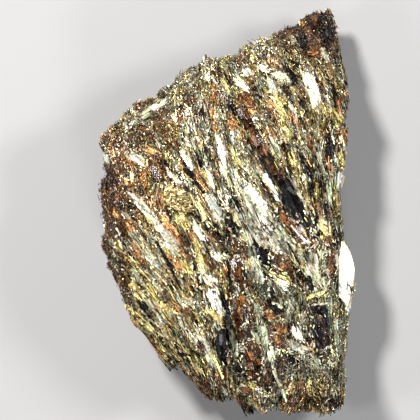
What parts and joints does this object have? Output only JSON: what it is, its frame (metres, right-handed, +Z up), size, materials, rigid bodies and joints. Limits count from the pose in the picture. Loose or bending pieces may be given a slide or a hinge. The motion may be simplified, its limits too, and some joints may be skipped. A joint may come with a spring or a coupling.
{
  "type": "astrophyllite specimen",
  "caption": "Hand specimen of astrophyllite: one broken mass of intergrown bladed crystals that fan out from its foot, lying on its flatter back.",
  "frame": {"origin": "bottom centre of the piece's bounding box, on the surface that it rests on", "axes": "+Z up through the broad front face, +Y along the piece from its foot to its peak, +X towards its straight side"},
  "size_m": [0.031, 0.0488, 0.0169],
  "materials": {
    "crystal_mass": "micaceous bronze to silver crystal blades"
  },
  "bodies": {
    "root": {"crystal_mass": "crystal_mass"}
  },
  "joints": []
}
